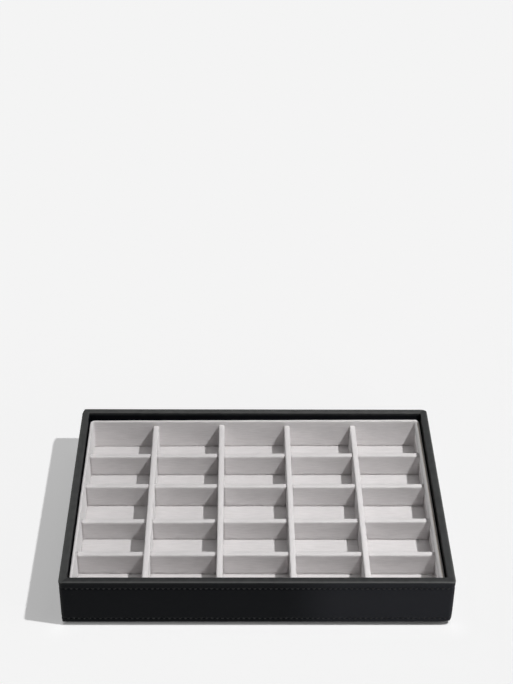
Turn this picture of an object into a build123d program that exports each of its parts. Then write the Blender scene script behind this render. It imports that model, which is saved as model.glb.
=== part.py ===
from build123d import *
import os

# Jewelry tray: a board box wrapped in black leather, with a velvet-lined
# insert of five by five cells and a stepped base that seats in a like tray.
# Millimetres. The origin is at the centre of the underside, +X runs along the
# long side, -Y is the front and +Z is up.

# Overall size
outer_width = 250.0
outer_depth = 180.0
wall_height = 34.8
plinth_height = 2.8

# Materials
leather_thickness = 0.8
velvet_thickness = 0.5
glue_line = 0.05

# Box
wall_board_thickness = 3.2
base_board_thickness = 3.2
outer_corner_radius = 3.0
inner_corner_radius = 1.0
rim_fold_radius = 0.6
foot_fold_radius = 1.0
turn_in_depth = 14.0
hem_width = 12.0

# Stepped base
stacking_clearance = 1.0
plinth_corner_radius = 3.0
plinth_edge_radius = 0.8

# Insert
liner_gap = 0.8
recess_depth = 5.3
insert_card_thickness = 2.0
liner_card_thickness = 0.9
liner_corner_radius = 3.0
liner_edge_radius = 0.9

# Dividers
column_count = 5
row_count = 5
divider_core_thickness = 2.7
divider_edge_radius = 1.2
long_divider_step = 2.9
cross_divider_step = 2.8

# Chamfer on a divider board's upper edges, as a share of its thickness
core_chamfer_share = 0.15

# Overrun of every cut past the face that it opens
cut_overrun = 1.0

# The four walls of the box and of the insert's frame
sides = ("front", "back", "left", "right")

# Heights
wall_bottom = plinth_height
rim_top = wall_bottom + wall_height
board_bottom = wall_bottom + leather_thickness
board_top = rim_top - leather_thickness - glue_line
base_top = board_bottom + base_board_thickness
card_top = base_top + insert_card_thickness
floor_top = card_top + velvet_thickness
liner_top = rim_top - recess_depth
long_divider_top = liner_top - long_divider_step
cross_divider_top = long_divider_top - cross_divider_step

# Plan sizes, from the outside in
leather_and_glue = leather_thickness + glue_line
velvet_and_glue = velvet_thickness + glue_line
wall_thickness = wall_board_thickness + 2 * leather_and_glue
board_outer_width = outer_width - 2 * leather_and_glue
board_outer_depth = outer_depth - 2 * leather_and_glue
board_inner_width = board_outer_width - 2 * wall_board_thickness
board_inner_depth = board_outer_depth - 2 * wall_board_thickness
rim_inner_width = outer_width - 2 * wall_thickness
rim_inner_depth = outer_depth - 2 * wall_thickness
plinth_width = rim_inner_width - 2 * stacking_clearance
plinth_depth = rim_inner_depth - 2 * stacking_clearance
liner_outer_width = rim_inner_width - 2 * liner_gap
liner_outer_depth = rim_inner_depth - 2 * liner_gap
liner_thickness = liner_card_thickness + 2 * velvet_and_glue
liner_inner_width = liner_outer_width - 2 * liner_thickness
liner_inner_depth = liner_outer_depth - 2 * liner_thickness
liner_inner_radius = liner_corner_radius - liner_thickness

# Cells
divider_thickness = divider_core_thickness + 2 * velvet_and_glue
cell_width = (liner_inner_width - (column_count - 1) * divider_thickness) / column_count
cell_depth = (liner_inner_depth - (row_count - 1) * divider_thickness) / row_count
column_pitch = cell_width + divider_thickness
row_pitch = cell_depth + divider_thickness


def save(node, shape):
    """Write one node's solids to its own file."""
    shape.label = node
    export_step(shape, f"parts/{node}.step")


def block(width, depth, low, high, corner_radius=0):
    """Upright block on the tray's axis, with rounded corners in plan."""
    if corner_radius > 0:
        outline = RectangleRounded(width, depth, corner_radius)
    else:
        outline = Rectangle(width, depth)
    return Pos(0, 0, low) * extrude(outline, high - low)


def top_face(shape):
    """Highest face of a shape."""
    return shape.faces().sort_by(Axis.Z)[-1]


def bottom_face(shape):
    """Lowest face of a shape."""
    return shape.faces().sort_by(Axis.Z)[0]


def wall_ring(clearance=0):
    """The four wall boards as one ring, grown by a clearance on every side."""
    ring = block(
        board_outer_width + 2 * clearance,
        board_outer_depth + 2 * clearance,
        board_bottom,
        board_top + clearance,
        outer_corner_radius - leather_and_glue + clearance,
    )
    ring -= block(
        board_inner_width - 2 * clearance,
        board_inner_depth - 2 * clearance,
        board_bottom - cut_overrun,
        board_top + clearance + cut_overrun,
    )
    return ring


def mitre_region(side):
    """The part of the plan that belongs to one wall, cut at 45 degrees at both ends."""
    along_front = side in ("front", "back")
    half_length = (outer_width if along_front else outer_depth) / 2
    half_across = (outer_depth if along_front else outer_width) / 2
    reach = 2 * wall_thickness
    region = Polygon(
        (-half_length, -half_across),
        (half_length, -half_across),
        (half_length - reach, reach - half_across),
        (reach - half_length, reach - half_across),
        align=None,
    )
    turns = {"front": 0, "right": 90, "back": 180, "left": 270}
    return extrude(Rot(0, 0, turns[side]) * region, rim_top)


def wall_board(side):
    """Wall board of the box, mitred to its neighbours."""
    return wall_ring() & mitre_region(side)


def base_board():
    """Bottom of the box, glued between the wall boards."""
    return block(board_inner_width, board_inner_depth, board_bottom, base_top)


def leather_wrap():
    """Leather round the walls: over the rim, down the inside and under the foot."""
    wrap = block(outer_width, outer_depth, wall_bottom, rim_top, outer_corner_radius)
    wrap = fillet(bottom_face(wrap).edges(), foot_fold_radius)
    wrap -= block(
        rim_inner_width,
        rim_inner_depth,
        board_bottom,
        rim_top + cut_overrun,
        inner_corner_radius,
    )
    wrap = fillet(top_face(wrap).edges(), rim_fold_radius)
    # The turned-in leather ends on the boards, and the hem under the base board
    wrap -= block(board_inner_width, board_inner_depth, board_bottom, rim_top - turn_in_depth)
    wrap -= block(
        outer_width - 2 * hem_width,
        outer_depth - 2 * hem_width,
        wall_bottom - cut_overrun,
        board_bottom + cut_overrun,
    )
    return wrap - wall_ring(glue_line)


def plinth_board(clearance=0):
    """Board of the stepped base, under the hem of the leather."""
    return block(
        plinth_width - 2 * velvet_and_glue + 2 * clearance,
        plinth_depth - 2 * velvet_and_glue + 2 * clearance,
        velvet_and_glue - clearance,
        plinth_height,
        plinth_corner_radius - velvet_and_glue + clearance,
    )


def plinth_velvet():
    """Velvet over the underside and the edge of the stepped base."""
    cover = block(plinth_width, plinth_depth, 0, plinth_height, plinth_corner_radius)
    cover = fillet(bottom_face(cover).edges(), plinth_edge_radius)
    return cover - plinth_board(glue_line)


def insert_card():
    """Card under the whole insert."""
    return block(liner_outer_width, liner_outer_depth, base_top, card_top, liner_corner_radius)


def floor_velvet():
    """Velvet floor of the cells, in one sheet under the dividers."""
    return block(liner_inner_width, liner_inner_depth, card_top, floor_top, liner_inner_radius)


def liner_card(side, clearance=0):
    """Upright card of the insert's frame, between two rounded corners."""
    along_front = side in ("front", "back")
    sign = -1 if side in ("front", "left") else 1
    long_size = liner_outer_width if along_front else liner_outer_depth
    short_size = liner_outer_depth if along_front else liner_outer_width
    offset = sign * (short_size - liner_thickness) / 2
    length = long_size - 2 * liner_corner_radius + 2 * clearance
    thickness = liner_card_thickness + 2 * clearance
    top = liner_top - velvet_and_glue + clearance
    if along_front:
        return Pos(0, offset, 0) * block(length, thickness, card_top, top)
    return Pos(offset, 0, 0) * block(thickness, length, card_top, top)


def liner_velvet():
    """Velvet of the insert's frame, wrapped over the cards and round the corners."""
    ring = block(
        liner_outer_width, liner_outer_depth, card_top, liner_top, liner_corner_radius
    )
    ring -= block(
        liner_inner_width,
        liner_inner_depth,
        card_top - cut_overrun,
        liner_top + cut_overrun,
        liner_inner_radius,
    )
    ring = fillet(top_face(ring).edges(), liner_edge_radius)
    for side in sides:
        ring -= liner_card(side, glue_line)
    return ring


def divider_core(top, length, clearance=0):
    """Board inside a divider, along X, with its upper edges eased for the velvet."""
    half_thickness = divider_core_thickness / 2 + clearance
    chamfer = core_chamfer_share * 2 * half_thickness
    core_top = top - velvet_and_glue + clearance
    core_bottom = floor_top - (cut_overrun if clearance > 0 else 0)
    outline = Polygon(
        (-half_thickness, core_bottom),
        (half_thickness, core_bottom),
        (half_thickness, core_top - chamfer),
        (half_thickness - chamfer, core_top),
        (chamfer - half_thickness, core_top),
        (-half_thickness, core_top - chamfer),
        align=None,
    )
    return extrude(Plane.YZ * outline, length / 2, both=True)


def divider_velvet(top, length):
    """Velvet folded over a divider's board: rounded over on top, open at the floor and the ends."""
    height = top - floor_top
    outline = Pos(0, floor_top + height / 2) * Rectangle(divider_thickness, height)
    outline = fillet(outline.vertices().group_by(Axis.Y)[-1], divider_edge_radius)
    cover = extrude(Plane.YZ * outline, length / 2, both=True)
    return cover - divider_core(top, length + 2 * cut_overrun, glue_line)


def long_divider_place(column):
    """Place of the long divider to the right of a column, turned front to back."""
    x = column * column_pitch - divider_thickness / 2 - liner_inner_width / 2
    return Pos(x, 0, 0) * Rot(0, 0, 90)


def cross_divider_place(row, column):
    """Place of the short divider behind a cell, between two long ones."""
    x = (column - 1) * column_pitch + cell_width / 2 - liner_inner_width / 2
    y = row * row_pitch - divider_thickness / 2 - liner_inner_depth / 2
    return Pos(x, y, 0)


def save_dividers():
    """The long dividers from left to right, and the short ones row by row from the front."""
    long_core = divider_core(long_divider_top, liner_inner_depth)
    long_velvet = divider_velvet(long_divider_top, liner_inner_depth)
    for column in range(1, column_count):
        save(f"long_divider_core_{column}", long_divider_place(column) * long_core)
        save(f"long_divider_velvet_{column}", long_divider_place(column) * long_velvet)
    cross_core = divider_core(cross_divider_top, cell_width)
    cross_velvet = divider_velvet(cross_divider_top, cell_width)
    for row in range(1, row_count):
        cores = []
        for column in range(1, column_count + 1):
            place = cross_divider_place(row, column)
            cores.append(place * cross_core)
            save(f"cross_divider_velvet_row{row}_column{column}", place * cross_velvet)
        save(f"cross_divider_cores_row{row}", Compound(children=cores))


os.makedirs("parts", exist_ok=True)
for side in sides:
    save(f"wall_board_{side}", wall_board(side))
    save(f"liner_card_{side}", liner_card(side))
save("base_board", base_board())
save("leather_wrap", leather_wrap())
save("plinth_board", plinth_board())
save("plinth_velvet", plinth_velvet())
save("insert_card", insert_card())
save("floor_velvet", floor_velvet())
save("liner_velvet", liner_velvet())
save_dividers()
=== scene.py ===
import bpy
import math
import random
from mathutils import Matrix, Vector, noise


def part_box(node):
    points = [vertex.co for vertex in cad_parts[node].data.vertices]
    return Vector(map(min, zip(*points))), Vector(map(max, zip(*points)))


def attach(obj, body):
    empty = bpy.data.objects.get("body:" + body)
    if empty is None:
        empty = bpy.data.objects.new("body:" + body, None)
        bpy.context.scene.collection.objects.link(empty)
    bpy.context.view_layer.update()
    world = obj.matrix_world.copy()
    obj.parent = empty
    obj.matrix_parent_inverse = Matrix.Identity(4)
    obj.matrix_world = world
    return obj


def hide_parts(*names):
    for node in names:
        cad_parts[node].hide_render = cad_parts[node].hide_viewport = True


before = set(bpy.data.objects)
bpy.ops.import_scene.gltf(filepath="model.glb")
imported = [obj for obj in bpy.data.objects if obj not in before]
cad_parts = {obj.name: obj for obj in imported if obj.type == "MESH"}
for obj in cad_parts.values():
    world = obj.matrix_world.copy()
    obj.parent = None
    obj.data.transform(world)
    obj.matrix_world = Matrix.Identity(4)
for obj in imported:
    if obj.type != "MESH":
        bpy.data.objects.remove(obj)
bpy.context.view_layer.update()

# Looks of the jewelry tray: wrapped leather with stitching, velvet insert and studio light.
# Metres. Lengths below are written in millimetres times mm.
mm = 0.001

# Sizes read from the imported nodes
wrap_low, wrap_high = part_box("leather_wrap")
board_low, board_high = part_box("wall_board_front")
liner_low, liner_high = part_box("liner_velvet")
liner_card_low, liner_card_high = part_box("liner_card_front")
floor_low, floor_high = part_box("floor_velvet")
_, plinth_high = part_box("plinth_velvet")
half_width = wrap_high.x
half_depth = wrap_high.y
rim_top = wrap_high.z
wall_foot = wrap_low.z
leather_thickness = board_low.z - wrap_low.z
board_thickness = board_high.y - board_low.y
leather_and_glue = board_low.y - wrap_low.y
wall_thickness = board_thickness + 2 * leather_and_glue
liner_half_width = liner_high.x
liner_half_depth = liner_high.y
liner_top = liner_high.z
liner_thickness = liner_card_high.y - liner_card_low.y + 2 * (liner_card_low.y - liner_low.y)
velvet_thickness = floor_high.z - floor_low.z

# Camera, fitted to the edges of the tray in the photo
camera_place = Vector((-13.41 * mm, -759.60 * mm, 643.95 * mm + rim_top))
camera_pitch = math.radians(34.534)
camera_yaw = math.radians(0.942)
camera_roll = math.radians(0.673)
camera_lens = 77.0
sensor_width = 36

# Leather wrap
outer_corner_radius = 3.0 * mm
rim_corner_height = 2.5 * mm
inner_corner_radius = 1.0 * mm
rim_fold_radius = 0.6 * mm
inner_fold_radius = 0.4 * mm
foot_fold_radius = 1.0 * mm
turn_in_depth = 14.0 * mm
hem_width = 12.0 * mm
rim_crown = 0.03 * mm
corner_drop_reach = 2.5 * mm
corner_drop_height = 4.0 * mm
corner_tuck_reach = 4.0 * mm
corner_tuck_height = 5.0 * mm
back_left_pinch = 1.3 * mm
pinch_reach = 5.0 * mm
pinch_height = 4.0 * mm

# Slow waves of the leather: height, how many to a metre along and up the wall, shares that show
# outward and on top, how far the skin and the top lie back for them, and how deep the top reaches
wave_height = 0.05 * mm
wave_scale = 40
wave_scale_up = 60
wave_out_share = 0.6
wave_top_share = 0.5
skin_allowance = 0.04 * mm
top_allowance = 0.03 * mm
crown_depth = 0.2 * mm

# Surface of the leather: sizes and depths of its grain, gloss, and colours
pebble_size = 0.62 * mm
pebble_depth = 0.055 * mm
grain_size = 0.16 * mm
grain_depth = 0.012 * mm
patch_size = 22 * mm
leather_roughness = (0.40, 0.56)
worn_polish = 0.06
leather_gloss = 0.06
leather_dark = (0.0026, 0.0034, 0.0048)
leather_light = (0.0040, 0.0048, 0.0064)
# Grey of the painted reflection on the front wall's right half
painted_reflection_leather = (0.0165, 0.0175, 0.0215)
# Grey of the worn rim, which also carries a painted highlight and sheen
worn_and_highlighted_leather = (0.080, 0.081, 0.080)

# Stitching on the outside of the walls. Tilts are in degrees, scatters are the most to either side
stitch_pitch = 3.37 * mm
stitch_share = 0.54
thread_radius = 0.55 * mm
thread_sink = 0.26 * mm
top_stitch_drop = 5.35 * mm
bottom_stitch_rise = 3.6 * mm
top_stitch_height = rim_top - top_stitch_drop
bottom_stitch_height = wall_foot + bottom_stitch_rise
stitch_heights = (bottom_stitch_height, top_stitch_height)
top_stitch_seed = 3
bottom_stitch_seed = 5
groove_depth = 0.16 * mm
groove_half_width = 0.75 * mm
hole_depth = 0.34 * mm
hole_share = 0.62
pucker_height = 0.07 * mm
pucker_reach = 3.2 * mm
thread_taper = 0.72
thread_dive = 0.42 * mm
stitch_scatter = 0.05 * mm
stitch_length_scatter = 0.04
stitch_tilt = 4
stitch_tilt_scatter = 2.5
steps_per_stitch = 4
ply_scale = 1.6
ply_distortion = 0.4
ply_depth = 0.09 * mm
thread_dark = (0.0085, 0.0089, 0.0089)
thread_light = (0.0230, 0.0240, 0.0240)

# Light: lamps near the tray as name, place, power and radius, and a broad lamp straight above
near_lamps = (
    ("key", Vector((406, -192, 830)) * mm, 27.3, 14 * mm),
    ("front_fill", Vector((350, -350, 150)) * mm, 0.6, 80 * mm),
    ("right_fill", Vector((450, -120, 180)) * mm, 0.5, 80 * mm),
)
top_strength = 0.69
top_angle = math.radians(48)
surround_level = 0.01
floor_level = 0.905
paper_brightest = 0.80

# Share of the lamp above that a wall hides at its foot, how fast that falls off, and how far under
# the tray the floor turns dark
hidden_share = 0.5
hiding_power = 1.7
underside_reach = 4.5 * mm

# The floor reaches this far to each side of the middle
floor_size = 6.0

# Velvet. Waves and softness are heights, and scales are how many to a metre
liner_edge_radius = 0.95 * mm
divider_edge_radius = 1.2 * mm
pile_height = 0.1 * mm
edge_softness = 0.10 * mm
edge_soft_depth = 2 * mm
edge_soft_scale = 90
pile_wave = 0.09 * mm
pile_wave_scale = 120
floor_wave = 0.10 * mm
floor_wave_scale = 70
floor_steps = (156, 110)
divider_bow = 0.15 * mm
sleeve_end_ease = 1.2 * mm
sleeve_step = 1.6 * mm
fewest_sleeve_steps = 16
hollow_top_share = 0.7

# Surface of the velvet: sizes and depths of its nap, streaks and fuzz, and colours
nap_size = 13 * mm
streak_size = 0.9 * mm
streak_depth = 0.11 * mm
fuzz_size = 0.28 * mm
fuzz_depth = 0.11 * mm
nap_levels = (0.10, 0.50)
streak_levels = (0, 0.55)
streak_noise = (0.32, 0.68)
streaks_along_x = (0.12, 1, 1)
streaks_along_y = (1, 0.12, 1)
velvet_light = (0.716, 0.692, 0.692)
velvet_dark = (0.608, 0.588, 0.588)
# Painted shadow of the rim on the top of the frame's right wall: its colour and share
painted_shadow_velvet = (0.300, 0.290, 0.290)
painted_shadow_share = 0.6

# Painted light and shade on the velvet pieces against the short dividers: lighter copies of its
# colour on the long dividers and the frame, a darker copy on the cell floor
long_divider_painted_light = 1.08
frame_painted_light = 1.05
floor_painted_shade = 0.93

# Boards and cards inside: sizes and depth of the fibres, and colours
fibreboard_grain = 0.8 * mm
card_grain = 0.5 * mm
fibre_depth = 0.1 * mm
fibreboard_light = (0.50, 0.38, 0.26)
fibreboard_dark = (0.38, 0.28, 0.19)
card_light = (0.50, 0.46, 0.40)
card_dark = (0.36, 0.33, 0.29)

# Stepped base
plinth_edge_radius = 0.8 * mm
plinth_corner_radius = 3.0 * mm
plinth_least_radius = 1.0 * mm
plinth_flat_starts = (8 * mm, 3 * mm)

# Steps along the front and the sides of the frame and of the stepped base
insert_steps = (120, 86)

# Easing of a divider board's upper edges, as a share of its thickness
board_ease = 0.15

# How the glued-in insert really sits, off its even places, in millimetres. The long dividers
# from the left: to the right, and how much too low at the front and back ends. The rows of short
# dividers from the front, at their left and right ends: to the back, and too low. The frame's back
# wall at its left and right ends: to the back, and from which share of the depth on. The frame's
# right wall: how far its padded top bulges inward and slopes down there, and how deep that reaches.
long_divider_shifts = (-0.2, -0.3, -0.6, -0.6)
long_divider_drops = ((1.4, 1.2), (0.3, 0.3), (0.3, 1.2), (0.8, 1.2))
row_shifts = ((0.1, -0.3), (-0.1, -0.4), (0.4, 0.4), (0.1, 1.0))
row_drops = ((0.7, 0.1), (2.1, 1.0), (0.1, -0.3), (0.5, -0.1))
back_wall_shifts = (-1.0, 0.75)
back_shift_start_share = 0.6
right_wall_bulge = 1.5
right_wall_slope = 1.8
bulge_height = 4.0

# Corners in millimetres, front right, back right, back left and front left: radii, and how far the
# leather is pulled down at the rim and tucked in at the foot
rim_corner_radii = (2.2, 1.8, 1.0, 1.6)
liner_corner_radii = (3.0, 3.2, 3.5, 3.0)
corner_drops = (0.7, 0.7, 0.1, 0.7)
corner_tucks = (0.75, 0.6, 0.6, 0.1)

# Wear and painted sheen of the rim's top at the front, right, back and left, and wear and a painted
# highlight at its outer edge
rim_wear_and_sheen = (0.53, 0.63, 1.05, 0.90)
edge_wear_and_highlight = 1.3
wear_and_highlight_depth = 0.45 * mm
edge_wear_and_highlight_reach = 0.6 * mm
wear_and_highlight_below = 0.16
wear_and_highlight_below_depth = 1.6 * mm
speck_scale = 260
speck_share = 0.3

# Where a painted reflection turns the front wall greyer, from the middle to the right
reflection_start = 15 * mm
reflection_end = 55 * mm


def camera_matrix(place, pitch, yaw, roll):
    """Camera to world matrix from a place and three angles: down, to the right, and about the view."""
    forward = Vector((
        math.sin(yaw) * math.cos(pitch),
        math.cos(yaw) * math.cos(pitch),
        -math.sin(pitch),
    ))
    level_right = Vector((math.cos(yaw), -math.sin(yaw), 0))
    level_up = level_right.cross(forward)
    right = math.cos(roll) * level_right + math.sin(roll) * level_up
    up = math.cos(roll) * level_up - math.sin(roll) * level_right
    turned = Matrix((right, up, -forward)).transposed().to_4x4()
    turned.translation = place
    return turned


def make_camera():
    """The photograph's camera, fitted to the tray's edges."""
    data = bpy.data.cameras.new("camera")
    data.sensor_width = sensor_width
    data.lens = camera_lens
    data.clip_start = 0.01
    data.clip_end = 20
    camera = bpy.data.objects.new("camera", data)
    bpy.context.scene.collection.objects.link(camera)
    camera.matrix_world = camera_matrix(camera_place, camera_pitch, camera_yaw, camera_roll)
    bpy.context.scene.camera = camera
    bpy.context.scene.view_settings.view_transform = "Standard"


def make_object(name, vertices, faces, material):
    """A smooth-shaded piece of the tray from points and faces."""
    mesh = bpy.data.meshes.new(name)
    mesh.from_pydata([tuple(v) for v in vertices], [], faces)
    mesh.validate()
    mesh.polygons.foreach_set("use_smooth", [True] * len(mesh.polygons))
    mesh.materials.append(material)
    piece = bpy.data.objects.new(name, mesh)
    bpy.context.scene.collection.objects.link(piece)
    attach(piece, "root")
    return piece


class Nodes:
    """Short way to add and join shader nodes of one material."""

    def __init__(self, name):
        self.material = bpy.data.materials.new(name)
        self.material.use_nodes = True
        self.tree = self.material.node_tree
        self.shader = self.tree.nodes["Principled BSDF"]
        self.place = self.add("ShaderNodeTexCoord").outputs["Object"]

    def add(self, kind, **settings):
        node = self.tree.nodes.new(kind)
        for key, value in settings.items():
            setattr(node, key, value)
        return node

    def join(self, source, target):
        self.tree.links.new(source, target)

    def set(self, **values):
        for key, value in values.items():
            self.shader.inputs[key.replace("_", " ")].default_value = value

    def stretched(self, scale):
        mapping = self.add("ShaderNodeMapping")
        mapping.inputs["Scale"].default_value = scale
        self.join(self.place, mapping.inputs["Vector"])
        return mapping.outputs["Vector"]

    def noise(self, size, detail=2, stretch=(1, 1, 1)):
        texture = self.add("ShaderNodeTexNoise")
        texture.inputs["Scale"].default_value = 1 / size
        texture.inputs["Detail"].default_value = detail
        self.join(self.stretched(stretch), texture.inputs["Vector"])
        return texture.outputs["Fac"]

    def pebbles(self, size):
        texture = self.add("ShaderNodeTexVoronoi")
        texture.inputs["Scale"].default_value = 1 / size
        self.join(self.place, texture.inputs["Vector"])
        return texture.outputs["Distance"]

    def ramp(self, source, stops):
        ramp = self.add("ShaderNodeValToRGB")
        elements = ramp.color_ramp.elements
        while len(elements) < len(stops):
            elements.new(0.5)
        for element, (position, colour) in zip(elements, stops):
            element.position = position
            element.color = (*colour, 1)
        self.join(source, ramp.inputs["Fac"])
        return ramp.outputs["Color"]

    def span(self, source, low, high, from_low=0, from_high=1):
        """Map a value from one range to another."""
        mapper = self.add("ShaderNodeMapRange")
        mapper.inputs["From Min"].default_value = from_low
        mapper.inputs["From Max"].default_value = from_high
        mapper.inputs["To Min"].default_value = low
        mapper.inputs["To Max"].default_value = high
        self.join(source, mapper.inputs["Value"])
        return mapper.outputs["Result"]

    def maths(self, operation, first, second):
        node = self.add("ShaderNodeMath", operation=operation)
        for socket, value in zip(node.inputs, (first, second)):
            if isinstance(value, (int, float)):
                socket.default_value = value
            else:
                self.join(value, socket)
        return node.outputs["Value"]

    def mix(self, factor, first, second):
        node = self.add("ShaderNodeMix", data_type="RGBA")
        for socket, value in zip((node.inputs[0], node.inputs[6], node.inputs[7]),
                                 (factor, first, second)):
            if isinstance(value, (int, float)):
                socket.default_value = value
            elif isinstance(value, tuple):
                socket.default_value = (*value, 1)
            else:
                self.join(value, socket)
        return node.outputs[2]

    def bump(self, height, distance, normal=None):
        bump = self.add("ShaderNodeBump")
        bump.inputs["Distance"].default_value = distance
        bump.inputs["Strength"].default_value = 1
        self.join(height, bump.inputs["Height"])
        if normal is not None:
            self.join(normal, bump.inputs["Normal"])
        return bump.outputs["Normal"]


def leather_material():
    """Black coated leather with a fine pebble grain. It is greyer where the rim is worn and carries a
    painted highlight and sheen, and where a painted reflection lies on the front wall.
    """
    n = Nodes("black_leather")
    pebble = n.pebbles(pebble_size)
    fine = n.noise(grain_size, detail=2)
    patches = n.noise(patch_size, detail=3)
    wear_and_highlight = n.add("ShaderNodeAttribute", attribute_name="wear_and_highlight").outputs["Fac"]
    plain = n.mix(patches, leather_dark, leather_light)
    painted_reflection = n.add("ShaderNodeAttribute", attribute_name="painted_reflection").outputs["Fac"]
    # Painted reflection: the front wall greyer from the middle to the right
    plain = n.mix(painted_reflection, plain, painted_reflection_leather)
    # Wear with a painted highlight: the rim greyer, most along its outer edge
    n.join(n.mix(wear_and_highlight, plain, worn_and_highlighted_leather), n.shader.inputs["Base Color"])
    rough = n.span(fine, *leather_roughness)
    rough = n.maths("SUBTRACT", rough, n.maths("MULTIPLY", wear_and_highlight, worn_polish))
    n.join(rough, n.shader.inputs["Roughness"])
    n.set(Specular_IOR_Level=leather_gloss)
    grain = n.bump(pebble, pebble_depth)
    n.join(n.bump(fine, grain_depth, grain), n.shader.inputs["Normal"])
    return n.material


def thread_material():
    """Black waxed thread, two plies twisted together."""
    n = Nodes("black_thread")
    coordinates = n.add("ShaderNodeTexCoord").outputs["UV"]
    twist = n.add("ShaderNodeTexWave", wave_type="BANDS", bands_direction="DIAGONAL")
    twist.inputs["Scale"].default_value = ply_scale
    twist.inputs["Distortion"].default_value = ply_distortion
    n.join(coordinates, twist.inputs["Vector"])
    plies = n.ramp(twist.outputs["Fac"], [(0, thread_dark), (1, thread_light)])
    n.join(plies, n.shader.inputs["Base Color"])
    n.set(Roughness=0.55, Specular_IOR_Level=0.25)
    n.join(n.bump(twist.outputs["Fac"], ply_depth), n.shader.inputs["Normal"])
    return n.material


def velvet_material(name, along, shade=1.0):
    """Short warm-grey pile: mottled nap, fine streaks along one direction, and a soft sheen. It is
    darker where a painted shadow of the rim lies, and shade makes the whole copy lighter or darker
    as painted light and shade."""
    n = Nodes(name)
    nap = n.noise(nap_size, detail=3)
    streaks = n.noise(streak_size, detail=3, stretch=along)
    fuzz = n.noise(fuzz_size, detail=2)
    light = tuple(shade * level for level in velvet_light)
    dark = tuple(shade * level for level in velvet_dark)
    lines = n.span(streaks, *streak_levels, *streak_noise)
    mottle = n.maths("ADD", n.span(nap, *nap_levels), lines)
    # Painted shadow of the rim on the right wall's top
    painted_shadow = n.add("ShaderNodeAttribute", attribute_name="painted_rim_shadow").outputs["Fac"]
    n.join(n.mix(painted_shadow, n.mix(mottle, dark, light), painted_shadow_velvet), n.shader.inputs["Base Color"])
    n.set(Roughness=0.95, Specular_IOR_Level=0.12, Sheen_Weight=0.60, Sheen_Roughness=0.5)
    pile = n.bump(fuzz, fuzz_depth)
    n.join(n.bump(streaks, streak_depth, pile), n.shader.inputs["Normal"])
    return n.material


def board_material(name, light, dark, grain):
    """Pressed fibre board or grey board, for the pieces inside."""
    n = Nodes(name)
    fibres = n.noise(grain, detail=4, stretch=(0.25, 0.25, 1))
    n.join(n.mix(fibres, dark, light), n.shader.inputs["Base Color"])
    n.set(Roughness=0.85, Specular_IOR_Level=0.2)
    n.join(n.bump(fibres, fibre_depth), n.shader.inputs["Normal"])
    return n.material


def floor_material():
    """Pale seamless paper. Its colour evens out the lamps' fall-off, so that it looks flat."""
    n = Nodes("pale_floor")
    position = n.add("ShaderNodeNewGeometry").outputs["Position"]
    light = top_strength / math.pi + surround_level
    for name, place, power, radius in near_lamps:
        distance = n.add("ShaderNodeVectorMath", operation="DISTANCE")
        distance.inputs[1].default_value = place
        n.join(position, distance.inputs[0])
        level = power * place.z / (4 * math.pi ** 2)
        falling = n.maths("DIVIDE", level, n.maths("POWER", distance.outputs["Value"], 3))
        light = n.maths("ADD", light, falling)
    paper = n.maths("MINIMUM", n.maths("DIVIDE", floor_level, light), paper_brightest)
    missing = n.maths("SUBTRACT", floor_level, n.maths("MULTIPLY", light, paper))
    # Near the tray its walls hide some of the lamp above
    outside = n.add("ShaderNodeVectorMath", operation="ABSOLUTE")
    n.join(position, outside.inputs[0])
    past = n.add("ShaderNodeVectorMath", operation="SUBTRACT")
    n.join(outside.outputs["Vector"], past.inputs[0])
    past.inputs[1].default_value = (half_width, half_depth, 0)
    beyond = n.add("ShaderNodeVectorMath", operation="MAXIMUM")
    n.join(past.outputs["Vector"], beyond.inputs[0])
    gap = n.add("ShaderNodeVectorMath", operation="LENGTH")
    n.join(beyond.outputs["Vector"], gap.inputs[0])
    reach = rim_top * math.tan(top_angle / 2)
    hidden = n.maths("POWER", n.span(gap.outputs["Value"], 1, 0, 0, reach), hiding_power)
    shade = n.maths("MULTIPLY", hidden, hidden_share * top_strength / math.pi)
    missing = n.maths("ADD", missing, n.maths("MULTIPLY", shade, paper))
    # Under the tray it stays dark
    sides = n.add("ShaderNodeSeparateXYZ")
    n.join(past.outputs["Vector"], sides.inputs[0])
    nearest = n.maths("MAXIMUM", sides.outputs["X"], sides.outputs["Y"])
    missing = n.maths("MULTIPLY", missing, n.span(nearest, 0, 1, -underside_reach, 0))
    path = n.add("ShaderNodeLightPath").outputs
    seen = n.maths("MAXIMUM", path["Is Camera Ray"], path["Is Glossy Ray"])
    seen = n.maths("MAXIMUM", seen, path["Is Transmission Ray"])
    n.join(paper, n.shader.inputs["Base Color"])
    n.shader.inputs["Emission Color"].default_value = (1, 1, 1, 1)
    n.join(n.maths("MULTIPLY", missing, seen), n.shader.inputs["Emission Strength"])
    n.set(Roughness=1.0, Specular_IOR_Level=0.0)
    return n.material


def loop(half_x, half_y, radii, side_steps, corner_steps):
    """Points of a rectangle with four corner radii, from the front right on. They run anticlockwise
    from the front left: along each side, then round each corner, with the same count for every
    size. Each point comes with its outward direction."""
    points = []
    corners = (
        (1, -1, -math.pi / 2),
        (1, 1, 0),
        (-1, 1, math.pi / 2),
        (-1, -1, math.pi),
    )
    directions = (Vector((1, 0, 0)), Vector((0, 1, 0)), Vector((-1, 0, 0)), Vector((0, -1, 0)))
    for side in range(4):
        sx, sy, start = corners[side]
        along = directions[side]
        outward = directions[side - 1]
        half = (half_x, half_y)[side % 2]
        distance = (half_y, half_x)[side % 2]
        steps = side_steps[side % 2]
        first = radii[side - 1] - half
        last = half - radii[side]
        for i in range(steps):
            place = first + (last - first) * i / steps
            points.append((along * place + outward * distance, outward))
        centre = Vector((sx * (half_x - radii[side]), sy * (half_y - radii[side]), 0))
        for i in range(corner_steps):
            angle = start + math.pi / 2 * i / corner_steps
            direction = Vector((math.cos(angle), math.sin(angle), 0))
            points.append((centre + direction * radii[side], direction))
    return points


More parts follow.
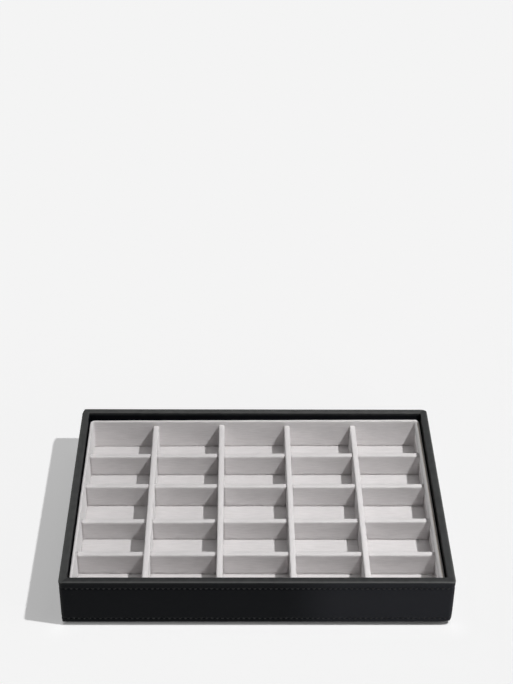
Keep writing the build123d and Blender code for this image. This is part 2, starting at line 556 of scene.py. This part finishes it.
def sweep(rings):
    """Faces between closed rings that follow each other round a closed profile."""
    count = len(rings[0])
    vertices = [point for ring in rings for point in ring]
    faces = []
    for r in range(len(rings)):
        following = (r + 1) % len(rings)
        for i in range(count):
            j = (i + 1) % count
            faces.append((r * count + i, r * count + j, following * count + j, following * count + i))
    return vertices, faces


def arc(centre, radius, start, end, steps):
    """Points of an arc in the section plane, from start to end in degrees."""
    points = []
    for i in range(steps + 1):
        angle = math.radians(start + (end - start) * i / steps)
        points.append((centre[0] + radius * math.cos(angle), centre[1] + radius * math.sin(angle)))
    return points


def line(start, end, steps):
    """Points between two section points, both ends left out."""
    return [
        (
            start[0] + (end[0] - start[0]) * i / steps,
            start[1] + (end[1] - start[1]) * i / steps,
        )
        for i in range(1, steps)
    ]


def wall_profile():
    """Section of the leather: how far in from the outside, and how high. Closed."""
    fold = rim_fold_radius
    inner_fold = inner_fold_radius
    foot = foot_fold_radius
    inner = wall_thickness
    profile = []
    profile += [(hem_width, wall_foot), (hem_width * 0.5, wall_foot)]
    profile += arc((foot, wall_foot + foot), foot, 270, 180, 5)
    heights = stitched_heights(wall_foot + foot, rim_top - fold)
    profile += [(0, z) for z in heights]
    profile += arc((fold, rim_top - fold), fold, 180, 90, 7)
    profile += line((fold, rim_top), (inner - inner_fold, rim_top), 5)
    profile += arc((inner - inner_fold, rim_top - inner_fold), inner_fold, 90, 0, 6)
    profile += line((inner, rim_top - inner_fold), (inner, rim_top - turn_in_depth), 6)
    profile += [(inner, rim_top - turn_in_depth)]
    back = inner - leather_thickness
    profile += [(back, rim_top - turn_in_depth)]
    profile += [(back, rim_top - leather_thickness), (leather_thickness, rim_top - leather_thickness)]
    profile += [(leather_thickness, wall_foot + leather_thickness)]
    profile += [(hem_width, wall_foot + leather_thickness)]
    return profile


def stitched_heights(low, high):
    """Heights up the wall, closer together at the two stitch lines."""
    coarse = 2.4 * mm
    fine = 0.22 * mm
    fine_reach = groove_half_width * 1.7
    growth = 0.6
    growth_start = groove_half_width * 1.5
    heights = []
    z = low
    while z < high - fine:
        nearest = min(abs(z - height) for height in stitch_heights)
        step = fine
        if nearest >= fine_reach:
            step = min(coarse, max(fine, growth * (nearest - growth_start)))
        z += step
        if z < high - fine:
            heights.append(z)
    return heights


def leather_depth(phase, z):
    """How far the stitching pulls the leather in at a height, for a place within a stitch."""
    depth = 0.0
    at_hole = 0.5 + 0.5 * math.cos(2 * math.pi * phase)
    for height in stitch_heights:
        away = abs(z - height)
        groove = math.exp(-((away / groove_half_width) ** 2))
        hole = math.exp(-((away / (groove_half_width * hole_share)) ** 2)) * at_hole ** 3
        pucker = math.exp(-((away / pucker_reach) ** 2)) * at_hole
        depth += groove_depth * groove + hole_depth * hole + pucker_height * pucker
    return depth


def corner_radii(inset, z):
    """Plan radii of the leather's corners, which grow sharper towards the rim."""
    near_rim = max(0.0, 1 - (rim_top - z) / rim_corner_height)
    share = min(1.0, inset / wall_thickness)
    if inset >= leather_thickness * 0.5 and near_rim == 0:
        return (inner_corner_radius,) * 4
    radii = []
    for at_rim in rim_corner_radii:
        outer = outer_corner_radius + (at_rim * mm - outer_corner_radius) * near_rim
        radii.append(outer + (inner_corner_radius - outer) * share)
    return radii


def corner_pull(point, z):
    """How the leather is pulled at the corners: down or in at the rim, and in and up at the foot."""
    away = Vector((half_width - abs(point.x), half_depth - abs(point.y), 0)).length
    if point.x > 0:
        corner = 1 if point.y > 0 else 0
    else:
        corner = 2 if point.y > 0 else 3
    drop = corner_drops[corner] * mm
    tuck = corner_tucks[corner] * mm
    at_rim = math.exp(-((away / corner_drop_reach) ** 2))
    at_rim *= max(0.0, 1 - (rim_top - z) / corner_drop_height)
    at_foot = math.exp(-((away / corner_tuck_reach) ** 2))
    at_foot *= max(0.0, 1 - (z - wall_foot) / corner_tuck_height) ** 2
    inward = Vector((-math.copysign(1, point.x), -math.copysign(1, point.y), 0)).normalized()
    rise = at_foot * tuck - at_rim * drop
    return inward * (at_foot * tuck) + Vector((pinch(point, z), 0, rise))


def pinch(point, z):
    """How far the left side is pinched in at the rim, next to the back left corner."""
    near_left = max(0.0, 1 - (point.x + half_width) / (wall_thickness / 2))
    near_back = max(0.0, 1 - (half_depth - point.y) / pinch_reach)
    near_rim = max(0.0, 1 - (rim_top - z) / pinch_height)
    return back_left_pinch * near_left * near_back * near_rim


def wear_and_highlight_at(side, inset, z):
    """How worn the leather is and how much painted highlight and sheen it carries: at the rim's outer
    edge most, less on its top, a little below it.
    """
    depth = rim_top - z
    on_top = math.exp(-((depth / wear_and_highlight_depth) ** 2))
    at_edge = math.exp(-(((inset - rim_fold_radius / 2) / edge_wear_and_highlight_reach) ** 2))
    below = wear_and_highlight_below * math.exp(-depth / wear_and_highlight_below_depth) if inset < rim_fold_radius else 0.0
    flat = rim_wear_and_sheen[side]
    return on_top * (flat + (edge_wear_and_highlight - flat) * at_edge) + below


def side_counts():
    """Steps along the front and the side walls, a whole number of stitches."""
    counts = []
    for half in (half_width, half_depth):
        stitches = round(2 * (half - outer_corner_radius) / stitch_pitch)
        counts.append(steps_per_stitch * stitches)
    return tuple(counts)


def stitch_phase(i, steps):
    """Place within a stitch of a point along a side or round its corner: 0 at a hole."""
    if i < steps:
        return (i % steps_per_stitch) / steps_per_stitch
    return 0.0 if i == steps else 0.5


def leather_shift(point, outward, inset, z, wave, phase):
    """How far a point of the leather lies off its even place: waves, stitching and corners."""
    on_outside = inset < leather_thickness * 0.5
    shift = Vector()
    if on_outside or z > rim_top - 0.5 * leather_thickness:
        depth = leather_depth(phase, z) if on_outside else 0.0
        shift = outward * (wave * wave_out_share - skin_allowance - depth)
    if inset < wall_thickness / 2:
        shift += corner_pull(point, z)
    return shift


def rim_lift(inset, z, wave):
    """How far a point on top of the rim lies off the rim's height: it is crowned and waved."""
    if z <= rim_top - crown_depth:
        return 0.0
    across = (inset / wall_thickness - 0.5) * 2
    return wave * wave_top_share - rim_crown * across * across - top_allowance


def painted_reflection_share(side, inset, x):
    """How much the painted reflection greys the leather: only on the front wall, from the middle to
    the right.
    """
    if side > 0 or inset >= rim_fold_radius:
        return 0.0
    along = min(1.0, max(0.0, (x - reflection_start) / (reflection_end - reflection_start)))
    return along * along * (3 - 2 * along)


def make_leather(material):
    """The leather, as one closed skin that is pulled in by its stitching."""
    corner_steps = 8
    counts = side_counts()
    rings, wear_and_highlight, painted_reflection = [], [], []
    for inset, z in wall_profile():
        radii = corner_radii(inset, z)
        points = iter(loop(half_width - inset, half_depth - inset, radii, counts, corner_steps))
        ring = []
        for side in range(4):
            steps = counts[side % 2]
            for i in range(steps + corner_steps):
                point, outward = next(points)
                place = point * wave_scale + Vector((0, 0, z * wave_scale_up))
                wave = noise.noise(place) * wave_height
                shift = leather_shift(point, outward, inset, z, wave, stitch_phase(i, steps))
                ring.append(point + shift + Vector((0, 0, z + rim_lift(inset, z, wave))))
                speck = 0.5 + 0.5 * noise.noise(point * speck_scale + Vector((0, 0, z * speck_scale)))
                # Wear with a painted highlight and sheen on the rim, and a painted reflection on the
                # front wall
                wear_and_highlight.append(wear_and_highlight_at(side, inset, z) * (1 - speck_share + speck_share * speck))
                painted_reflection.append(painted_reflection_share(side, inset, point.x))
        rings.append(ring)
    vertices, faces = sweep(rings)
    piece = make_object("leather", vertices, faces, material)
    for kind, values in (("wear_and_highlight", wear_and_highlight), ("painted_reflection", painted_reflection)):
        attribute = piece.data.attributes.new(kind, "FLOAT", "POINT")
        attribute.data.foreach_set("value", values)
    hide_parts("leather_wrap")


def stitch_mesh(centre, along, outward, length, vertices, faces, uvs, tilt):
    """One stitch: a capsule of thread that dives into its holes at both ends."""
    up = outward.cross(along)
    direction = (along * math.cos(tilt) + up * math.sin(tilt)).normalized()
    up = outward.cross(direction)
    rings, sides = 9, 8
    base = len(vertices)
    for r in range(rings):
        t = 2 * r / (rings - 1) - 1
        girth = thread_radius * math.sqrt(max(0.0, 1 - thread_taper * abs(t) ** 3))
        sink = thread_sink + thread_dive * abs(t) ** 3
        middle = centre + direction * (t * length / 2) - outward * sink
        for s in range(sides):
            angle = 2 * math.pi * s / sides
            offset = up * (math.cos(angle) * girth) + outward * (math.sin(angle) * girth)
            vertices.append(middle + offset)
            uvs.append((t, s / sides * 2))
    for r in range(rings - 1):
        for s in range(sides):
            following = (s + 1) % sides
            faces.append((
                base + r * sides + s,
                base + r * sides + following,
                base + (r + 1) * sides + following,
                base + (r + 1) * sides + s,
            ))
    faces.append(tuple(base + s for s in reversed(range(sides))))
    faces.append(tuple(base + (rings - 1) * sides + s for s in range(sides)))


def make_stitching(name, height, material, seed):
    """One row of stitching round all four walls."""
    chance = random.Random(seed)
    vertices, faces, uvs = [], [], []
    straight_x = half_width - outer_corner_radius
    straight_y = half_depth - outer_corner_radius
    across, deep = (count // steps_per_stitch for count in side_counts())
    walls = (
        (Vector((1, 0, 0)), Vector((0, -1, 0)), straight_x, half_depth, across),
        (Vector((0, 1, 0)), Vector((1, 0, 0)), straight_y, half_width, deep),
        (Vector((-1, 0, 0)), Vector((0, 1, 0)), straight_x, half_depth, across),
        (Vector((0, -1, 0)), Vector((-1, 0, 0)), straight_y, half_width, deep),
    )
    for along, outward, straight, distance, stitches in walls:
        pitch = 2 * straight / stitches
        for i in range(stitches):
            middle = along * (-straight + (i + 0.5) * pitch) + outward * distance
            middle += Vector((0, 0, height + chance.uniform(-stitch_scatter, stitch_scatter)))
            degrees = stitch_tilt + chance.uniform(-stitch_tilt_scatter, stitch_tilt_scatter)
            tilt = math.radians(degrees)
            stretch = chance.uniform(1 - stitch_length_scatter, 1 + stitch_length_scatter)
            length = pitch * stitch_share * stretch
            stitch_mesh(middle, along, outward, length, vertices, faces, uvs, tilt)
    piece = make_object(name, vertices, faces, material)
    layer = piece.data.uv_layers.new(name="UVMap")
    for corner in piece.data.loops:
        layer.data[corner.index].uv = uvs[corner.vertex_index]


def between(ends, x):
    """Value at a place across the insert, from its values at the left and right ends."""
    share = min(1.0, max(0.0, 0.5 + x / (2 * liner_half_width)))
    return ends[0] + (ends[1] - ends[0]) * share


def back_shift(x, y):
    """How far back a point of the insert sits, because its back wall stands slightly askew."""
    start = back_shift_start_share
    near_back = max(0.0, (y / liner_half_depth - start) / (1 - start))
    return between(back_wall_shifts, x) * mm * near_back ** 2


def make_liner(material):
    """Velvet round the frame of the insert, over its top edge and down both sides."""
    t = liner_thickness
    edge = liner_edge_radius
    skin = velvet_thickness
    low = liner_low.z
    outside = [(0, low)] + line((0, low), (0, liner_top - edge), 5)
    crest = arc((edge, liner_top - edge), edge, 180, 90, 5)
    crest += arc((t - edge, liner_top - edge), edge, 90, 0, 5)
    inside = line((t, liner_top - edge), (t, low), 12) + [(t, low)]
    hollow = [(t - skin, low), (t - skin, liner_top - skin), (skin, liner_top - skin), (skin, low)]
    corner_steps = 8
    rings, painted_shadow = [], []
    for inset, z in outside + crest + inside + hollow:
        radii = [radius * mm - inset for radius in liner_corner_radii]
        points = loop(
            liner_half_width - inset, liner_half_depth - inset, radii, insert_steps, corner_steps
        )
        near_top = math.exp(-(((liner_top - z) / (bulge_height * mm)) ** 2))
        padded = inset / t * near_top * mm
        ring = []
        for point, outward in points:
            soft = 0.0
            if z > liner_top - edge_soft_depth:
                place = point * edge_soft_scale + Vector((3, 1, z * edge_soft_scale))
                soft = noise.noise(place) * edge_softness
            on_right = max(0.0, outward.x) ** 4
            askew = Vector((
                -right_wall_bulge * padded * on_right,
                back_shift(point.x, point.y),
                z + soft * 0.5 - right_wall_slope * padded * on_right,
            ))
            ring.append(point + outward * soft + askew)
            # Painted shadow of the rim on the right wall's top
            painted_shadow.append(painted_shadow_share * near_top * on_right)
        rings.append(ring)
    vertices, faces = sweep(rings)
    piece = make_object("frame_velvet", vertices, faces, material)
    attribute = piece.data.attributes.new("painted_rim_shadow", "FLOAT", "POINT")
    attribute.data.foreach_set("value", painted_shadow)
    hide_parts("liner_velvet")


def make_floor(material):
    """Velvet floor sheet, a little uneven, under all the cells."""
    under_walls = Vector((liner_thickness / 2, liner_thickness / 2, 0))
    low, high = floor_low - under_walls, floor_high + under_walls
    columns, rows = floor_steps
    vertices, faces = [], []
    for level in (0, 1):
        for j in range(rows + 1):
            for i in range(columns + 1):
                x = low.x + (high.x - low.x) * i / columns
                y = low.y + (high.y - low.y) * j / rows
                z = low.z
                if level:
                    wave = noise.noise(Vector((x, y, 0)) * floor_wave_scale)
                    z = high.z + wave * floor_wave - floor_wave / 2
                vertices.append(Vector((x, y, z)))
    stride = columns + 1
    layer = stride * (rows + 1)
    for j in range(rows):
        for i in range(columns):
            a = j * stride + i
            faces.append((layer + a, layer + a + 1, layer + a + stride + 1, layer + a + stride))
    bottom = list(range(columns)) + [columns + j * stride for j in range(rows)]
    bottom += [rows * stride + i for i in range(columns, 0, -1)]
    bottom += [j * stride for j in range(rows, 0, -1)]
    faces.append(tuple(reversed(bottom)))
    for index, a in enumerate(bottom):
        b = bottom[(index + 1) % len(bottom)]
        faces.append((a, b, layer + b, layer + a))
    used = sorted({v for face in faces for v in face})
    renumber = {v: i for i, v in enumerate(used)}
    vertices = [vertices[v] for v in used]
    faces = [tuple(renumber[v] for v in face) for face in faces]
    piece = make_object("cell_floor_velvet", vertices, faces, material)
    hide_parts("floor_velvet")


def strip_point(low, high, share, across, z):
    """Point of an upright strip between two box corners: its share of the length, how far across
    from its middle, and its height."""
    middle = (low + high) / 2
    if high.x - low.x > high.y - low.y:
        return Vector((low.x + (high.x - low.x) * share, middle.y + across, z))
    return Vector((middle.x - across, low.y + (high.y - low.y) * share, z))


def strip_faces(steps, count, base=0):
    """Faces along a strip that is made of sections with the same count of points, and its ends."""
    faces = []
    for i in range(steps):
        for k in range(count):
            following = (k + 1) % count
            faces.append((
                base + i * count + k,
                base + (i + 1) * count + k,
                base + (i + 1) * count + following,
                base + i * count + following,
            ))
    faces.append(tuple(base + k for k in range(count)))
    faces.append(tuple(base + steps * count + k for k in reversed(range(count))))
    return faces


def long_moves(number):
    """How far the ends of a long divider sit from their even places: x, y, and down at the top.
    Its back end is let into the frame's back wall."""
    sideways = long_divider_shifts[number - 1]
    drops = long_divider_drops[number - 1]
    place = (2 * number / (len(long_divider_shifts) + 1) - 1) * liner_half_width
    back = max(0.0, between(back_wall_shifts, place)) * mm + liner_thickness / 4
    return (
        Vector((sideways, 0, drops[0])) * mm,
        Vector((sideways, 0, drops[1])) * mm + Vector((0, back, 0)),
    )


def cross_moves(row, column, low, high):
    """The same for the ends of a short divider, fitted between its long neighbours."""
    stops = (0.0, *long_divider_shifts, 0.0)
    moves = []
    for x, stop in ((low.x, stops[column - 1]), (high.x, stops[column])):
        back = between(row_shifts[row - 1], x)
        drop = between(row_drops[row - 1], x)
        moves.append(Vector((stop, back, drop)) * mm)
    return moves


def sleeve_profile(half, low, top):
    """Section of a divider's velvet, flat on top with rounded edges: outer points, inner points."""
    edge = divider_edge_radius
    shoulder = top - edge
    flat = half - edge
    outside = [(-half, low)] + line((-half, low), (-half, shoulder), 9)
    outside += arc((-flat, shoulder), edge, 180, 90, 6) + [(0, top)]
    outside += arc((flat, shoulder), edge, 90, 0, 6)
    outside += line((half, shoulder), (half, low), 9) + [(half, low)]
    core = half - velvet_thickness
    narrow = core * hollow_top_share
    ceiling = top - velvet_thickness
    hollow = [(core, low), (core, shoulder), (narrow, ceiling)]
    hollow += [(-narrow, ceiling), (-core, shoulder), (-core, low)]
    return outside, hollow


def make_sleeve(node, moves, material):
    """Velvet sleeve of one divider, a little soft and slightly bowed, with its two ends moved."""
    low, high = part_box(node)
    length = max(high.x - low.x, high.y - low.y)
    half = min(high.x - low.x, high.y - low.y) / 2 + pile_height
    outside, hollow = sleeve_profile(half, low.z, high.z)
    bow = random.Random(node).uniform(-divider_bow, divider_bow)
    steps = max(fewest_sleeve_steps, round(length / sleeve_step))
    vertices = []
    for i in range(steps + 1):
        share = i / steps
        move = moves[0].lerp(moves[1], share)
        ease = min(1.0, min(share, 1 - share) * length / sleeve_end_ease)
        for index, (across, z) in enumerate(outside + hollow):
            point = strip_point(low, high, share, across, z)
            rise = (z - low.z) / (high.z - low.z)
            soft = 0.0
            if index < len(outside):
                soft = noise.noise(point * pile_wave_scale) * pile_wave * ease
            sideways = across * (1 + soft / half) + bow * math.sin(math.pi * share) * rise
            level = z + (soft * 0.5 - move.z) * rise
            point = strip_point(low, high, share, sideways, level)
            vertices.append(point + Vector((move.x, move.y, 0)))
    faces = strip_faces(steps, len(outside + hollow))
    piece = make_object(node.replace("_velvet", ""), vertices, faces, material)
    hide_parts(node)


def board_sections(low, high, moves):
    """Points of a board inside a divider, at its two ends, with its upper edges eased."""
    half = min(high.x - low.x, high.y - low.y) / 2
    ease = board_ease * 2 * half
    outline = (
        (-half, low.z), (half, low.z), (half, high.z - ease),
        (half - ease, high.z), (ease - half, high.z), (-half, high.z - ease),
    )
    points = []
    for share, move in zip((0, 1), moves):
        for across, z in outline:
            level = z - move.z * (z - low.z) / (high.z - low.z)
            point = strip_point(low, high, share, across, level)
            points.append(point + Vector((move.x, move.y, 0)))
    return points


def make_long_divider(number, sleeve_material, board_material):
    """One long divider, front to back: its velvet and the board inside it."""
    moves = long_moves(number)
    make_sleeve(f"long_divider_velvet_{number}", moves, sleeve_material)
    node = f"long_divider_core_{number}"
    low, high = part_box(node)
    points = board_sections(low, high, moves)
    board = make_object(
        f"long_divider_board_{number}", points, strip_faces(1, len(points) // 2), board_material
    )
    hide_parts(node)


def make_divider_row(row, sleeve_material, board_material):
    """One row of short dividers, left to right: their velvet, and the boards inside as one piece."""
    node = f"cross_divider_cores_row{row}"
    boards_low, boards_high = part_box(node)
    points, faces = [], []
    for column in range(1, len(long_divider_shifts) + 2):
        sleeve = f"cross_divider_velvet_row{row}_column{column}"
        low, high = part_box(sleeve)
        moves = cross_moves(row, column, low, high)
        make_sleeve(sleeve, moves, sleeve_material)
        low = Vector((low.x, boards_low.y, boards_low.z))
        high = Vector((high.x, boards_high.y, boards_high.z))
        sections = board_sections(low, high, moves)
        faces += strip_faces(1, len(sections) // 2, len(points))
        points += sections
    boards = make_object(f"cross_divider_boards_row{row}", points, faces, board_material)
    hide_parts(node)


def make_back_card(material):
    """The upright card in the frame's back wall, which stands askew with it."""
    low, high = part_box("liner_card_back")
    points = []
    for x in (low.x, high.x):
        for y, z in ((low.y, low.z), (high.y, low.z), (high.y, high.z), (low.y, high.z)):
            points.append(Vector((x, y + back_shift(x, y), z)))
    card = make_object("frame_card_back", points, strip_faces(1, len(points) // 2), material)
    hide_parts("liner_card_back")


def make_plinth(material):
    """Velvet on the stepped base, rounded over at its lower edge."""
    half_x, half_y = plinth_high.x, plinth_high.y
    height = plinth_high.z
    edge = plinth_edge_radius
    skin = velvet_thickness
    profile = [(inset, 0.0) for inset in plinth_flat_starts]
    profile += arc((edge, edge), edge, 270, 180, 5)
    profile += [(0, height), (skin, height), (skin, skin), (plinth_flat_starts[0], skin)]
    corner_steps = 6
    rings = []
    for inset, z in profile:
        radii = (max(plinth_corner_radius - inset, plinth_least_radius),) * 4
        points = loop(half_x - inset, half_y - inset, radii, insert_steps, corner_steps)
        rings.append([point + Vector((0, 0, z)) for point, outward in points])
    vertices = [point for ring in rings for point in ring]
    count = len(rings[0])
    faces = []
    for r in range(len(rings) - 1):
        for i in range(count):
            j = (i + 1) % count
            faces.append((r * count + i, r * count + j, (r + 1) * count + j, (r + 1) * count + i))
    faces.append(tuple(reversed(range(count))))
    last = (len(rings) - 1) * count
    faces.append(tuple(last + i for i in range(count)))
    piece = make_object("base_velvet", vertices, faces, material)
    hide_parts("plinth_velvet")


def make_stage():
    """Pale floor that fills the view."""
    mesh = bpy.data.meshes.new("floor")
    corners = [(x * floor_size, y * floor_size, 0) for x, y in ((-1, -1), (1, -1), (1, 1), (-1, 1))]
    mesh.from_pydata(corners, [], [(0, 1, 2, 3)])
    mesh.materials.append(floor_material())
    floor = bpy.data.objects.new("floor", mesh)
    bpy.context.scene.collection.objects.link(floor)


def add_lamp(name, kind, **settings):
    """One lamp, linked into the scene."""
    data = bpy.data.lights.new(name, kind)
    for key, value in settings.items():
        setattr(data, key, value)
    lamp = bpy.data.objects.new(name, data)
    bpy.context.scene.collection.objects.link(lamp)
    return lamp


def make_lights():
    """A small key lamp at the right, two weak ones, a broad one above and a weak surround."""
    for name, place, power, radius in near_lamps:
        lamp = add_lamp(name, "POINT", energy=power, shadow_soft_size=radius)
        lamp.location = place
    add_lamp("top", "SUN", energy=top_strength, angle=top_angle)
    world = bpy.data.worlds.new("surround")
    bpy.context.scene.world = world
    world.use_nodes = True
    background = world.node_tree.nodes["Background"]
    background.inputs["Color"].default_value = (1, 1, 1, 1)
    background.inputs["Strength"].default_value = surround_level


make_camera()
make_lights()
make_stage()

leather = leather_material()
thread = thread_material()
velvet_x = velvet_material("grey_velvet_across", streaks_along_x)
# Lighter and darker copies of the velvet, as painted light and shade
velvet_y = velvet_material("grey_velvet_lengthwise", streaks_along_y, long_divider_painted_light)
velvet_frame = velvet_material("grey_velvet_frame", streaks_along_x, frame_painted_light)
velvet_floor = velvet_material("grey_velvet_floor", streaks_along_x, floor_painted_shade)
fibreboard = board_material("fibreboard", fibreboard_light, fibreboard_dark, fibreboard_grain)
card = board_material("grey_board", card_light, card_dark, card_grain)

for name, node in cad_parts.items():
    inner = fibreboard if name.startswith(("wall_board", "base_board", "plinth_board")) else card
    node.data.materials.clear()
    node.data.materials.append(inner)

make_leather(leather)
make_stitching("top_stitching", top_stitch_height, thread, top_stitch_seed)
make_stitching("bottom_stitching", bottom_stitch_height, thread, bottom_stitch_seed)
make_liner(velvet_frame)
make_floor(velvet_floor)
make_plinth(velvet_x)
make_back_card(card)
for number in range(1, len(long_divider_shifts) + 1):
    make_long_divider(number, velvet_y, card)
for row in range(1, len(row_shifts) + 1):
    make_divider_row(row, velvet_x, card)
